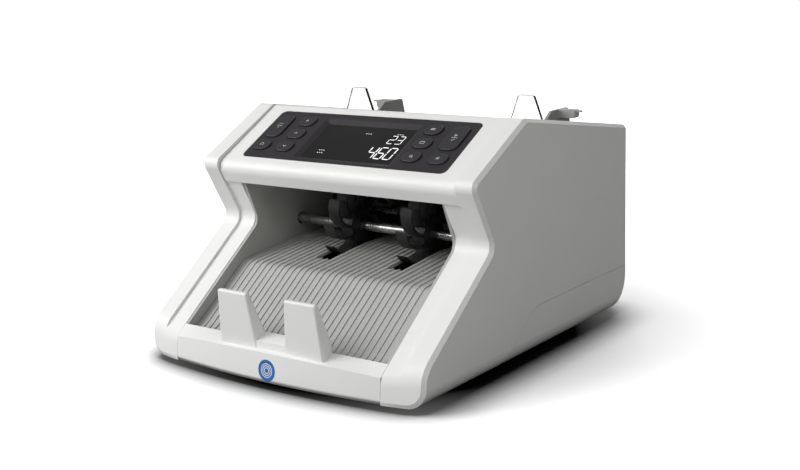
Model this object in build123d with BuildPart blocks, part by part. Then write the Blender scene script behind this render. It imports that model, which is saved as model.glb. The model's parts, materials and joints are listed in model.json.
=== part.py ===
"""Desktop banknote counting machine: hopper on top, stacker pocket in front.

Millimetres, +Z up, +X to the operator's right, +Y towards the back.  The origin is on the table,
under the middle of the machine.  Side profiles are drawn as (back, up): the distance back from
the front edge of the machine and the height above the table.
"""

import os
from math import atan2, cos, degrees, pi, radians, sin, tan

from build123d import *

os.makedirs("parts", exist_ok=True)

# Overall sizes
WIDTH, DEPTH = 250.0, 296.0
HALF = WIDTH / 2
FOOT_HEIGHT = 4.0
WALL = 2.5
GAP = 0.3  # parting gap between neighbouring covers

# Widths of the zones across the machine, measured from the middle
POCKET_HALF = 93.5
HOUSING_HALF = 108.5
LINER = 2.2
FRAME_IN, FRAME_OUT = 97.0, 99.0

# Side profile of the body: (back, up, corner radius)
BODY = [
    (0, FOOT_HEIGHT, 0),
    (0, 19.1, 0),
    (98.6, 92.6, 9.5),
    (73.4, 139.9, 7),
    (142.8, 176.0, 8),
    (DEPTH, 151.9, 3),
    (DEPTH, FOOT_HEIGHT, 30),
]
BEVEL = 2.6
CORNER_RADIUS, CREASE_RADIUS = 13.0, 20.0  # lower side edges, and where the slope meets the front
TRIM_STEP = 2.2
TRIM_LOW, TRIM_TURN = 8.33, 9.0  # start of the lower trim, measured up the slope
SEAM = [(101.5, FOOT_HEIGHT, 40), (150, 39.5, 40)]
POCKET_TOP = 123.4

# Front edge: bowed in plan and leaning back a little
BOW_RADIUS = 700.0
LEAN = 0.096
LIP_BACK, LIP_BACK_TOP = 17.2, 29.2
FRONT_INSIDE = 18.0
CREASE_MIDDLE, CREASE_END = 25.5, 22.3

# Control panel: a sloping plane, with heights measured up the slope from the fascia's lower edge
PANEL_BACK, PANEL_UP, PANEL_ANGLE = 86.9, 143.4, 28.4
FASCIA_WIDTH, FASCIA_HEIGHT, FASCIA_THICK = 187.0, 59.0, 3.0
HOUSING_BACK = 152.0
KEY_WIDTH, KEY_HEIGHT, KEY_PITCH, KEY_LOW = 15.5, 11.5, 16.0, 15.0
KEY_RISE, KEY_TRAVEL, KEY_CLEAR = 1.3, 1.0, 0.35
SCREEN_WIDTH, SCREEN_HEIGHT, SCREEN_MIDDLE = 82.0, 41.0, 28.0
BEZEL = 4.5

# Shafts, all along X: (back, up)
FEED = (232.0, 104.0)
TRANSPORT = (214.0, 80.0)
STACKER = (150.0, 84.0)
MOTOR = (255.0, 42.0)
SHAFT_RADIUS = 4.0
BUSH_RADIUS = 7.0
FEED_RADIUS, TRANSPORT_RADIUS, PINCH_RADIUS, WHEEL_RADIUS = 14.0, 15.0, 8.0, 36.0
PINCH = (TRANSPORT[0], TRANSPORT[1] - TRANSPORT_RADIUS - PINCH_RADIUS - 0.3)
ROLLER_AT, ROLLER_WIDTH = 24.0, 18.0
WHEEL_AT, WHEEL_WIDTH = 34.0, 10.0
GEAR_TEETH, GEAR_MODULE = 24, 1.25
PULLEY_RADIUS, MOTOR_PULLEY_RADIUS, BELT_THICK = 14.0, 8.0, 1.4

# Hopper
HOPPER_HALF, HOPPER_FRONT, HOPPER_REAR = 96.5, 212.0, 286.0
TRAY = [(214.5, 157.0), (214.5, 113.0), (242.0, 113.0), (282.5, 150.0)]
TRAY_END = 2.0
GUIDE_AT, GUIDE_THICK = 80.0, 2.5
PINION_BACK, PINION_UP, PINION_TEETH = 268.0, 114.0, 12
STOP_AT, STOP_BACK, STOP_TOP = 80.0, 218.0, 182.0
SCREW_BACK = 205.0

# Small fittings
BOSSES = [(x, back) for x in (-90, 90) for back in (118, 252)]
BOSS_TOP, SCREW_RADIUS = 12.0, 1.6
FEET = [(x, back) for x in (-86, 86) for back in (34, 240)]
BADGE_RADIUS, BADGE_THICK, BADGE_UP = 7.6, 0.8, 13.5
RIB_PITCH, RIB_THICK, RIB_HEIGHT = 5.6, 1.2, 0.9

PORTS = [(36.0, 54.5), (60.0, 54.5)]
RODS = [(116.0, 34.0), (281.0, 100.0), (172.0, 133.0)]
ROD_RADIUS = 3.0
ROCKER_TILT = -8.0

# Back panel
BACK_IN, BACK_OUT = 291.5, 294.0
DOOR_HALF, DOOR_LOW, DOOR_HIGH = 80.0, 71.5, 119.0
INLET_X, ROCKER_X, MODULE_UP = -66.0, -42.0, 54.5
ROCKER_PIVOT = BACK_OUT - 4.5


def side(x):
    """Plane across the machine at x, with its own axes (back, up)."""
    return Plane(origin=(x, -DEPTH / 2, 0), x_dir=(0, 1, 0), z_dir=(1, 0, 0))


def level(z):
    """Horizontal plane at height z, with its own axes (x, back)."""
    return Plane(origin=(0, -DEPTH / 2, z), x_dir=(1, 0, 0), z_dir=(0, 0, 1))


def facing(back):
    """Upright plane facing the front at a distance back, with its own axes (x, up)."""
    return Plane(origin=(0, back - DEPTH / 2, 0), x_dir=(1, 0, 0), z_dir=(0, -1, 0))


def panel(height=0.0):
    """Plane parallel to the control panel, a height out of it, with its own axes (x, up the slope)."""
    tilt = radians(PANEL_ANGLE)
    out = Vector(0, -sin(tilt), cos(tilt))
    foot = Vector(0, PANEL_BACK - DEPTH / 2, PANEL_UP)
    return Plane(origin=foot + out * height, x_dir=(1, 0, 0), z_dir=out)


def outline(corners, inset=0.0):
    """Closed face through corners of (back, up, radius), shrunk by inset."""
    with BuildSketch() as face:
        with BuildLine():
            Polyline(*[(back, up) for back, up, _ in corners], close=True)
        make_face()
        for back, up, radius in corners:
            if radius:
                fillet(face.vertices().sort_by_distance((back, up))[0], radius=radius)
        if inset:
            offset(amount=-inset, kind=Kind.INTERSECTION)
    return face.sketch


def polygon(*points):
    """Closed face with straight edges."""
    return outline([(back, up, 0) for back, up in points])


def stroke(points, thickness, radius=0.0):
    """Face of a bent sheet: a line through points, thickened below and behind it."""
    with BuildSketch() as face:
        with BuildLine() as path:
            if radius:
                FilletPolyline(*points, radius=radius)
            else:
                Polyline(*points)
            offset(amount=thickness, side=Side.RIGHT)
        make_face()
    return face.sketch


def badge_plane():
    """Plane of the lip's front face at its middle, facing out of it, with its own axes (x, up)."""
    face = Vector(0, front_edge(0, BADGE_UP) - DEPTH / 2, BADGE_UP)
    return Plane(origin=face, x_dir=(1, 0, 0), z_dir=Vector(0, -1, LEAN))


def save(part, name):
    """Label a finished piece and write it."""
    part.label = name
    export_step(part, f"parts/{name}.step")


def slab(face, low, high):
    """Prism of a side profile from x = low to x = high."""
    with BuildPart() as prism:
        with BuildSketch(side(low)):
            add(face)
        extrude(amount=high - low)
    return prism.part


def front_edge(x, z):
    """Distance back of the bowed, leaning front face."""
    return x * x / (2 * BOW_RADIUS) + LEAN * (z - FOOT_HEIGHT)


BODY_FACE = outline(BODY)
BODY_INSIDE = outline(BODY, WALL)
TRIM_INSIDE = outline(BODY, WALL + TRIM_STEP)
SEAM_FACE = outline([(-20, -20, 0), (-20, FOOT_HEIGHT, 0), *SEAM, (400, 39.5, 0), (400, -20, 0)])


# --- Covers -----------------------------------------------------------------------------------


def bevelled_slab(low, high):
    """Body outline from x = low to x = high, with the bevel round each outer side face."""
    with BuildPart() as body:
        with BuildSketch(side(low)):
            add(BODY_FACE)
        extrude(amount=high - low)
        for face in body.faces().filter_by(Axis.X):
            if abs(face.center().X) > HALF - 1:
                chamfer(face.edges(), length=BEVEL)
    return body.part


def rounded_block(inset=0.0):
    """Block as wide as the machine with its two lower edges rounded, shrunk by inset."""
    half, low, radius = HALF - inset, FOOT_HEIGHT + inset, CORNER_RADIUS - inset
    with BuildPart() as block:
        with BuildSketch(facing(DEPTH + 10)):
            add(outline([(-half, low, radius), (-half, 230, 0), (half, 230, 0), (half, low, radius)]))
        extrude(amount=DEPTH + 30)
    return block.part


def bow_cutter():
    """Everything in front of the bowed front face."""
    with BuildPart() as cutter:
        with BuildSketch(level(FOOT_HEIGHT)):
            with BuildLine():
                reach = front_edge(HALF + 5, FOOT_HEIGHT)
                left, right = (-HALF - 5, reach), (HALF + 5, reach)
                ThreePointArc(left, (0, 0), right)
                Polyline(right, (right[0], -40), (left[0], -40), left)
            make_face()
        extrude(amount=60, dir=(0, LEAN, 1))
    return cutter.part


def carries_bevel(edge):
    """Whether an edge of the side cover is on the bevelled line round its outer face."""
    box, middle = edge.bounding_box(), edge.center()
    at_front = middle.Y < 23 - DEPTH / 2
    if box.min.X > HALF - 0.01:
        return at_front or middle.Z > 40
    return at_front and middle.Z < FOOT_HEIGHT + CORNER_RADIUS and box.size.X > 3


def lower_trim():
    """Layer taken off the slope beside the pocket, with a round turn at its lower end."""
    (_, low, _), (back, high, _) = BODY[1], BODY[2]
    tilt = atan2(high - low, back)
    slope = Plane(origin=(0, -DEPTH / 2, low), x_dir=(1, 0, 0), z_dir=(0, -sin(tilt), cos(tilt)))
    with BuildPart() as layer:
        with BuildSketch(slope):
            add(outline([(POCKET_HALF - 1, TRIM_LOW, 0), (HOUSING_HALF, TRIM_LOW, TRIM_TURN),
                         (HOUSING_HALF, 60, 0), (POCKET_HALF - 1, 60, 0)]))
        extrude(amount=-TRIM_STEP)
        with BuildSketch(slope):
            add(outline([(POCKET_HALF - 1, TRIM_LOW, 0), (HOUSING_HALF, TRIM_LOW, TRIM_TURN),
                         (HOUSING_HALF, 60, 0), (POCKET_HALF - 1, 60, 0)]))
        extrude(amount=5)
    return layer.part


def side_cover():
    """Right cover: flat side, bevel, raised band and the lower trim beside the pocket."""
    front_wall = polygon((-5, -5), (FRONT_INSIDE, -5), (FRONT_INSIDE, 60), (-5, 60))
    inner = slab(BODY_INSIDE - front_wall, HOUSING_HALF + WALL, HALF - WALL) & rounded_block(WALL)
    inner_trim = slab(TRIM_INSIDE - front_wall, POCKET_HALF - 1, HOUSING_HALF + WALL)
    upper_trim = polygon((36, 30), (60, 30), (130, POCKET_TOP), (130, 220), (36, 220))
    open_side = polygon((60, POCKET_TOP), (110, POCKET_TOP), (110, -9), (310, -9), (310, 210), (60, 210))
    with BuildPart() as cover:
        add(slab(BODY_FACE, POCKET_HALF, HALF))
        add(rounded_block(), mode=Mode.INTERSECT)
        add(bow_cutter(), mode=Mode.SUBTRACT)
        crease = cover.edges().filter_by(lambda e: abs(e.center().Z - 25) < 6 and e.length > 20)
        fillet(crease.sort_by(Axis.Y)[0], radius=CREASE_RADIUS)
        add(slab(SEAM_FACE, 0, HALF + 10), mode=Mode.SUBTRACT)
        chamfer(cover.edges().filter_by(carries_bevel), length=BEVEL)
        add(lower_trim(), mode=Mode.SUBTRACT)
        add(slab(upper_trim - outline(BODY, TRIM_STEP), POCKET_HALF - 1, HOUSING_HALF), mode=Mode.SUBTRACT)
        add([inner, inner_trim], mode=Mode.SUBTRACT)
        add(slab(open_side, POCKET_HALF - 1, HOUSING_HALF + GAP), mode=Mode.SUBTRACT)
    return cover.part


def base_shell():
    """Lower tub: side walls below the seam, rounded back corner, floor and screw bosses."""
    whole = bevelled_slab(-HALF, HALF) & rounded_block()
    inner = slab(BODY_INSIDE, -HALF + WALL, HALF - WALL) & rounded_block(WALL)
    below = outline([(-20, -20, 0), (-20, FOOT_HEIGHT, 0), *[(b, u - GAP, r) for b, u, r in SEAM],
                     (400, 39.5 - GAP, 0), (400, -20, 0)])
    with BuildPart() as tub:
        add(whole)
        add(inner, mode=Mode.SUBTRACT)
        with BuildSketch(side(-HALF - 1)):
            add(below)
        extrude(amount=WIDTH + 2, mode=Mode.INTERSECT)
        with BuildSketch(level(FOOT_HEIGHT)):
            with BuildLine():
                Polyline((-POCKET_HALF + GAP, LIP_BACK + GAP), (POCKET_HALF - GAP, LIP_BACK + GAP),
                         (POCKET_HALF - GAP, 130), (-POCKET_HALF + GAP, 130), close=True)
            make_face()
        extrude(amount=WALL)
        with BuildSketch(level(FOOT_HEIGHT)):
            with Locations(*BOSSES):
                Circle(5)
        extrude(amount=BOSS_TOP - FOOT_HEIGHT)
        with BuildSketch(level(FOOT_HEIGHT - 1)):
            with Locations(*BOSSES):
                Circle(SCREW_RADIUS)
        extrude(amount=BOSS_TOP - FOOT_HEIGHT + 2, mode=Mode.SUBTRACT)
    return tub.part


def lip_section(x):
    """Section of the lip block at x: bevelled foot, bowed front, crease and sloping top."""
    crease = CREASE_MIDDLE - (CREASE_MIDDLE - CREASE_END) * (x / POCKET_HALF) ** 2
    bevel_top = FOOT_HEIGHT + BEVEL
    return polygon((front_edge(x, FOOT_HEIGHT) + BEVEL, FOOT_HEIGHT),
                   (front_edge(x, bevel_top), bevel_top), (front_edge(x, crease), crease),
                   (LIP_BACK, LIP_BACK_TOP), (LIP_BACK, FOOT_HEIGHT))


def finger(hand):
    """One of the two upright fingers that the notes lean on: a wedge with drafted sides."""
    inner_foot, inner_top, outer_foot, outer_top, top = 11.7, 17.3, 47.5, 44.4, 65.5
    profile = slab(polygon((6.3, 20), (2.6, top), (6.8, top), (LIP_BACK, 35), (LIP_BACK, 20)), -60, 60)
    with BuildPart() as wedge:
        with BuildSketch(facing(40)):
            add(polygon(*[(hand * x, z) for x, z in ((inner_foot, 20), (outer_foot, 20),
                                                      (outer_top, top), (inner_top, top))]))
        extrude(amount=60)
        add(profile, mode=Mode.INTERSECT)
        fillet(wedge.edges().filter_by(lambda e: e.center().Z > 21), radius=1.6)
    return wedge.part


def front_lip():
    """Bowed front lip with the two fingers and the low web that joins their feet."""
    end = POCKET_HALF - GAP
    stations = [end * k / 2 for k in (-2, -1, 0, 1, 2)]
    web = slab(polygon((6.3, 20), (6.3, 31.5), (LIP_BACK, 35), (LIP_BACK, 20)), -14, 14)
    fingers = [finger(hand) for hand in (-1, 1)]
    with BuildPart() as lip:
        for x in stations:
            with BuildSketch(side(x)):
                add(lip_section(x))
        loft()
        crease = lip.edges().filter_by(lambda e: e.length > 100).group_by(Axis.Y)[0].sort_by(Axis.Z)[-1]
        fillet(crease, radius=2.5)
        add(web)
        add(fingers)
        with BuildSketch(level(FOOT_HEIGHT + WALL)):
            with BuildLine():
                Polyline((-end + WALL, 9.5), (end - WALL, 9.5), (end - WALL, 30), (-end + WALL, 30),
                         close=True)
            make_face()
        extrude(amount=15, mode=Mode.SUBTRACT)
        with BuildSketch(badge_plane()):
            Circle(BADGE_RADIUS + 0.1)
        extrude(amount=-BADGE_THICK, mode=Mode.SUBTRACT)
    return lip.part


def front_badge():
    """Plain round badge let into the lip."""
    with BuildPart() as badge:
        with BuildSketch(badge_plane()):
            Circle(BADGE_RADIUS)
        extrude(amount=-BADGE_THICK)
        fillet(badge.edges().group_by(Axis.Y)[0], radius=0.3)
    return badge.part


def stacker_plate():
    """Ribbed floor of the pocket: trough behind the lip, ramp, and a flatter shelf at the back."""
    surface = [(LIP_BACK + GAP, 24.5), (27, 25.5), (80, 63.5), (150, 70.5), (186, 70.5)]
    bend = 14
    sheet = stroke(surface, WALL, bend)
    ribs = stroke([(b, u + RIB_HEIGHT) for b, u in surface], RIB_HEIGHT + 0.2, bend)
    half = POCKET_HALF - GAP - LINER - GAP
    count = int(half / RIB_PITCH)
    with BuildPart() as plate:
        with BuildSketch(side(-half)):
            add(sheet)
        extrude(amount=2 * half)
        for k in range(-count, count + 1):
            with BuildSketch(side(k * RIB_PITCH - RIB_THICK / 2)):
                add(ribs)
            extrude(amount=RIB_THICK)
        with BuildSketch(level(40)):
            for x in (-WHEEL_AT, WHEEL_AT):
                with Locations((x, 150)):
                    Rectangle(WHEEL_WIDTH + 5, 90)
        extrude(amount=60, mode=Mode.SUBTRACT)
    return plate.part


def pocket_side_walls():
    """Dark liners on both sides of the pocket, with a hole for the stacker shaft."""
    shape = outline([(LIP_BACK + GAP, 12, 0), (LIP_BACK + GAP, 29.0, 0), (100.1, 90.6, 9), (86.6, 122.9, 0),
                     (190, 122.9, 0), (190, 55, 0), (100, 55, 0), (60, 36, 0)])
    with BuildPart() as walls:
        for x in (-POCKET_HALF + GAP, POCKET_HALF - GAP - LINER):
            with BuildSketch(side(x)):
                add(shape)
                with Locations(STACKER):
                    Circle(SHAFT_RADIUS + 1, mode=Mode.SUBTRACT)
            extrude(amount=LINER)
    return walls.part


def pocket_back_wall():
    """Black sheet over and behind the stacker wheels, with the slot that the notes come through."""
    half = POCKET_HALF - GAP - LINER - GAP
    sheet = stroke([(190.3, 48), (190.3, 122.9), (HOUSING_BACK + GAP, 122.9)], 1.7, 6)
    with BuildPart() as wall:
        with BuildSketch(side(-half)):
            add(sheet)
        extrude(amount=2 * half)
        with BuildSketch(facing(197)):
            with Locations((0, 91)):
                Rectangle(2 * half - 12, 14)
        extrude(amount=20, mode=Mode.SUBTRACT)
    return wall.part


# --- Control panel ----------------------------------------------------------------------------


def housing_profile(inset=0.0):
    """Side profile of the control housing, from its nose to the parting line behind it."""
    return outline([(82.9, POCKET_TOP + 0.4, 0), (75.8, 137.8, 8), (145.3, 175.2, 7),
                    (HOUSING_BACK, 174.1, 0), (HOUSING_BACK, POCKET_TOP + 0.4, 0)], inset)


def key_positions():
    """Name, (x, up the slope), rows tall of every key."""
    rows = [KEY_LOW + KEY_PITCH * k for k in range(3)]
    tall = (rows[1] + rows[2]) / 2
    left_outer, left_inner, right_inner, right_outer = -83.0, -60.6, 56.7, 79.4
    return [
        ("left_wide_key", (left_outer, tall), 2), ("left_low_key", (left_outer, rows[0]), 1),
        ("left_top_key", (left_inner, rows[2]), 1), ("up_key", (left_inner, rows[1]), 1),
        ("down_key", (left_inner, rows[0]), 1), ("right_top_key", (right_inner, rows[2]), 1),
        ("right_middle_key", (right_inner, rows[1]), 1), ("right_low_key", (right_inner, rows[0]), 1),
        ("start_key", (right_outer, tall), 2), ("clear_key", (right_outer, rows[0]), 1),
    ]


def key_shape(rows, grow=0.0):
    """Rounded outline of a key that is one or two rows tall."""
    height = KEY_HEIGHT + KEY_PITCH * (rows - 1)
    with BuildSketch() as shape:
        RectangleRounded(KEY_WIDTH + 2 * grow, height + 2 * grow, KEY_HEIGHT / 2 - 0.3 + grow)
    return shape.sketch


def control_housing():
    """Light housing over the pocket that carries the control panel."""
    half = HOUSING_HALF - GAP
    hollow = slab(housing_profile(WALL), -half + WALL, half - WALL)
    with BuildPart() as housing:
        with BuildSketch(side(-half)):
            add(housing_profile())
        extrude(amount=2 * half)
        add(hollow, mode=Mode.SUBTRACT)
        with BuildSketch(panel(-FASCIA_THICK)):
            with Locations((0, FASCIA_HEIGHT / 2)):
                RectangleRounded(FASCIA_WIDTH + GAP, FASCIA_HEIGHT + GAP, 5 + GAP / 2)
        extrude(amount=10, mode=Mode.SUBTRACT)
        with BuildSketch(facing(HOUSING_BACK + 1)):
            with Locations((74, 148)):
                Rectangle(26, 12)
        extrude(amount=2 * WALL, mode=Mode.SUBTRACT)
    return housing.part


def control_fascia():
    """Dark inset panel with a recess for the display and an opening for every key."""
    with BuildPart() as fascia:
        with BuildSketch(panel(-FASCIA_THICK)):
            with Locations((0, FASCIA_HEIGHT / 2)):
                RectangleRounded(FASCIA_WIDTH, FASCIA_HEIGHT, 5)
            with Locations((0, SCREEN_MIDDLE)):
                Rectangle(SCREEN_WIDTH, SCREEN_HEIGHT, mode=Mode.SUBTRACT)
            for _, place, rows in key_positions():
                with Locations(place):
                    add(key_shape(rows, KEY_CLEAR), mode=Mode.SUBTRACT)
        extrude(amount=FASCIA_THICK)
        for height, grow in ((0.01, BEZEL), (1 - FASCIA_THICK, 0)):
            with BuildSketch(panel(height)):
                with Locations((0, SCREEN_MIDDLE)):
                    RectangleRounded(SCREEN_WIDTH + 2 * grow, SCREEN_HEIGHT + 2 * grow, 1 + grow / 2)
        loft(mode=Mode.SUBTRACT)
    return fascia.part


def display_window():
    """Glossy dark pane at the bottom of the display recess."""
    with BuildPart() as window:
        with BuildSketch(panel(-FASCIA_THICK)):
            with Locations((0, SCREEN_MIDDLE)):
                Rectangle(SCREEN_WIDTH - 0.2, SCREEN_HEIGHT - 0.2)
        extrude(amount=0.9)
    return window.part


def display_module():
    """Display behind the pane: glass sandwich in a shallow metal frame."""
    with BuildPart() as module:
        with BuildSketch(panel(-FASCIA_THICK - 6)):
            with Locations((0, SCREEN_MIDDLE)):
                Rectangle(SCREEN_WIDTH + 6, SCREEN_HEIGHT + 6)
        extrude(amount=5.8)
        with BuildSketch(panel(-FASCIA_THICK - 0.7)):
            with Locations((0, SCREEN_MIDDLE)):
                Rectangle(SCREEN_WIDTH - 2, SCREEN_HEIGHT - 2)
        extrude(amount=1, mode=Mode.SUBTRACT)
    return module.part


def panel_sheet(top, thick, margin):
    """Sheet parallel to the panel, under the keys and round the display module."""
    with BuildPart() as sheet:
        with BuildSketch(panel(top - thick)):
            with Locations((0, FASCIA_HEIGHT / 2)):
                Rectangle(FASCIA_WIDTH - 2 * margin, FASCIA_HEIGHT - 2 * margin)
            with Locations((0, SCREEN_MIDDLE)):
                Rectangle(SCREEN_WIDTH + 7, SCREEN_HEIGHT + 7, mode=Mode.SUBTRACT)
        extrude(amount=thick)
    return sheet.part


def key(place, rows):
    """One key: a domed cap that stands a little out of the fascia."""
    with BuildPart() as cap:
        with BuildSketch(panel(-2)):
            with Locations(place):
                add(key_shape(rows))
        extrude(amount=2 + KEY_RISE)
        fillet(cap.edges().group_by(Axis(panel().origin, panel().z_dir))[-1], radius=0.6)
    return cap.part


# --- Hopper -----------------------------------------------------------------------------------


def top_cover():
    """Cover behind the control housing, with the hopper opening."""
    half = HOUSING_HALF - GAP
    front, back, foot = HOUSING_BACK + GAP, DEPTH - GAP, POCKET_TOP + 0.4
    drop = tan(radians(8.9))
    top = 174.1
    crown = [(front, top), (back, top - drop * (back - front))]
    outer = outline([(front, foot, 0), (*crown[0], 0), (*crown[1], 3), (back, foot, 0)])
    inner = polygon((front - 1, foot - 1), (front - 1, top - WALL),
                    (back - WALL, top - WALL - drop * (back - front - WALL)), (back - WALL, foot - 1))
    hollow = slab(inner, -half + WALL, half - WALL)
    with BuildPart() as cover:
        with BuildSketch(side(-half)):
            add(outer)
        extrude(amount=2 * half)
        add(hollow, mode=Mode.SUBTRACT)
        with BuildSketch(level(foot)):
            with BuildLine():
                Polyline((-HOPPER_HALF - 1, HOPPER_FRONT), (HOPPER_HALF + 1, HOPPER_FRONT),
                         (HOPPER_HALF + 1, HOPPER_REAR), (-HOPPER_HALF - 1, HOPPER_REAR), close=True)
            make_face()
            with Locations((0, SCREW_BACK)):
                Circle(5.2)
        extrude(amount=80, mode=Mode.SUBTRACT)
    return cover.part


def hopper_tray():
    """Bent tray that the notes stand in: upright front, short floor, back plate leaning back."""
    end = polygon(TRAY[0], (TRAY[1][0], TRAY[1][1] - 1), (TRAY[2][0], TRAY[2][1] - 1), TRAY[3])
    with BuildPart() as tray:
        with BuildSketch(side(-HOPPER_HALF)):
            add(stroke(TRAY, WALL, 4))
        extrude(amount=2 * HOPPER_HALF)
        for low in (-HOPPER_HALF, HOPPER_HALF - TRAY_END):
            add(slab(end, low, low + TRAY_END))
        with BuildSketch(level(95)):
            for x in (-ROLLER_AT, ROLLER_AT):
                with Locations((x, 232)):
                    Rectangle(ROLLER_WIDTH + 3, 34)
            for hand in (-1, 1):
                with Locations((hand * 73, stem_back(hand))):
                    Rectangle(43, 4.2)
        extrude(amount=60, mode=Mode.SUBTRACT)
    return tray.part


def stem_back(hand):
    """Distance back of the stem that joins a note guide to its rack."""
    return PINION_BACK - hand * (PINION_TEETH / 2 + 2.5)


def clear_stops():
    """Two clear upright plates at the front of the hopper that keep the notes from falling forward."""
    top_half, slant, shoulder = 6.7, 0.37, 163.0
    foot_half = top_half + slant * (STOP_TOP - shoulder)
    with BuildPart() as stops:
        for x in (-STOP_AT, STOP_AT):
            with BuildSketch(facing(STOP_BACK + 1.5)):
                add(outline([(x - foot_half, 146, 2), (x - foot_half, shoulder, 3),
                             (x - top_half, STOP_TOP, 2), (x + top_half, STOP_TOP, 2),
                             (x + foot_half, shoulder, 3), (x + foot_half, 146, 2)]))
            extrude(amount=3)
            with BuildSketch(facing(STOP_BACK - 1.5)):
                with Locations((x, 149.5)):
                    Rectangle(12, 6)
            extrude(amount=STOP_BACK - 1.5 - TRAY[0][0] - 0.1)
    return stops.part


def rack(hand):
    """Toothed bar under the tray, on one side of the pinion."""
    pitch, tooth = pi, ((-1.1, -1.1), (-0.3, 0.6), (0.3, 0.6), (1.1, -1.1))
    line = PINION_BACK - hand * PINION_TEETH / 2
    away = -hand
    with BuildSketch() as bar:
        with BuildLine():
            points = [(hand * -26, line + away * 5)]
            points.append((hand * -26, line + away * 1.1))
            count = int(26 / pitch)
            for k in range(-count, count + 1):
                middle = hand * (k + 0.5) * pitch
                for across, height in tooth:
                    points.append((middle + hand * across, line - away * height))
            points += [(hand * (GUIDE_AT + 4), line + away * 1.1), (hand * (GUIDE_AT + 4), line + away * 5)]
            Polyline(*points, close=True)
        make_face()
    return bar.sketch


def guide_wing(hand):
    """Grip over the hopper's rim, with a thin tab at its outer end."""
    low, high = GUIDE_AT + 1, GUIDE_AT + 17
    with BuildPart() as wing:
        with BuildSketch(facing(270)):
            add(outline([(hand * x, z, r) for x, z, r in ((low, 159.5, 0), (high - 1, 159.5, 1.5),
                                                           (high, 166, 1.5), (low, 166, 0))]))
        extrude(amount=8)
        with BuildSketch(facing(267)):
            add(polygon(*[(hand * x, z) for x, z in ((high - 3, 164.4), (high + 4, 164.4),
                                                      (high + 4, 165.6), (high - 3, 165.6))]))
        extrude(amount=3)
    return wing.part


def note_guide(hand):
    """Side guide of the hopper: plate in the tray, wing over the rim, and stem to its rack."""
    near, far = hand * GUIDE_AT, hand * (GUIDE_AT + GUIDE_THICK)
    plate = polygon((224, 114.2), (240.5, 114.2), (281.0, 151.2), (277, 166), (252, 166), (224, 146))
    stem_at = stem_back(hand)
    stem_top = tray_floor(stem_at) + 6
    with BuildPart() as guide:
        with BuildSketch(side(min(near, far))):
            add(plate)
        extrude(amount=GUIDE_THICK)
        fillet(guide.edges().filter_by(Axis.X).group_by(Axis.Z)[-1], radius=2)
        add(guide_wing(hand))
        with BuildSketch(level(PINION_UP)):
            add(rack(hand))
        extrude(amount=5)
        with BuildSketch(level(PINION_UP + 3)):
            with Locations((hand * (GUIDE_AT + 2), stem_at)):
                Rectangle(4, 3)
        extrude(amount=stem_top - PINION_UP - 3)
    return guide.part


def tray_floor(back):
    """Height of the tray's upper surface on its back plate."""
    (low_back, low), (high_back, high) = TRAY[2], TRAY[3]
    return low + (high - low) * (back - low_back) / (high_back - low_back)


def gear_face(teeth, module, bore, first):
    """Spur gear outline with relieved straight-sided teeth, one of them at the angle first."""
    root, tip = module * (teeth / 2 - 1.2), module * (teeth / 2 + 0.75)
    with BuildSketch() as gear:
        with BuildLine():
            points = []
            for k in range(teeth):
                middle = radians(first) + 2 * pi * k / teeth
                for radius, share in ((root, -0.34), (tip, -0.13), (tip, 0.13), (root, 0.34)):
                    angle = middle + share * 2 * pi / teeth
                    points.append((radius * cos(angle), radius * sin(angle)))
            Polyline(*points, close=True)
        make_face()
        Circle(bore, mode=Mode.SUBTRACT)
    return gear.sketch


def guide_pinion():
    """Pinion between the two racks, so that the note guides open and close together."""
    with BuildPart() as pinion:
        with BuildSketch(Plane(level(PINION_UP + 0.2).origin + Vector(0, PINION_BACK, 0))):
            add(gear_face(PINION_TEETH, 1.0, 2.05, 90))
        extrude(amount=4.6)
    return pinion.part


def pinion_bridge():
    """Cross bar under the tray with the pinion's fixed pin and slides for the racks."""
    with BuildPart() as bridge:
        with BuildSketch(level(PINION_UP - 3)):
            with Locations((0, PINION_BACK)):
                Rectangle(2 * FRAME_IN, 30)
        extrude(amount=2.7)
        with BuildSketch(level(PINION_UP - 1)):
            with Locations((0, PINION_BACK)):
                Circle(2)
        extrude(amount=6.5)
    return bridge.part


def gap_screw():
    """Slotted screw in the top cover that sets the note gap."""
    top = 163.6
    with BuildPart() as screw:
        with BuildSketch(level(110)):
            with Locations((0, SCREW_BACK)):
                Circle(2)
        extrude(amount=top - 3 - 110)
        with BuildSketch(level(top - 4)):
            with Locations((0, SCREW_BACK)):
                Circle(5)
        extrude(amount=4)
        with BuildSketch(level(top - 1.5)):
            with Locations((0, SCREW_BACK)):
                Rectangle(12, 1.6)
        extrude(amount=5, mode=Mode.SUBTRACT)
    return screw.part


def retard_pad():
    """Holder with a rubbing face close to the feed rollers, hung on the gap screw."""
    with BuildPart() as holder:
        with BuildSketch(side(-36)):
            add(polygon((200, 100.5), (217.4, 100.5), (217.4, 110.0), (200, 110.0)))
            with Locations(FEED):
                Circle(FEED_RADIUS + 0.4, mode=Mode.SUBTRACT)
        extrude(amount=72)
        with BuildSketch(level(100)):
            with Locations((0, SCREW_BACK)):
                Circle(2.1)
        extrude(amount=12, mode=Mode.SUBTRACT)
    return holder.part


# --- Transport --------------------------------------------------------------------------------


def ring(centre, outer, inner, low, high):
    """Tube about a shaft line from x = low to x = high."""
    with BuildSketch() as face:
        with Locations(centre):
            Circle(outer)
            if inner:
                Circle(inner, mode=Mode.SUBTRACT)
    return slab(face.sketch, low, high)


def roller_set(centre, radius, places, width, bore=SHAFT_RADIUS + 0.02):
    """Equal plain rollers on one shaft line, centred on the given places."""
    with BuildPart() as rollers:
        for x in places:
            add(ring(centre, radius, bore, x - width / 2, x + width / 2))
    return rollers.part


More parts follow.
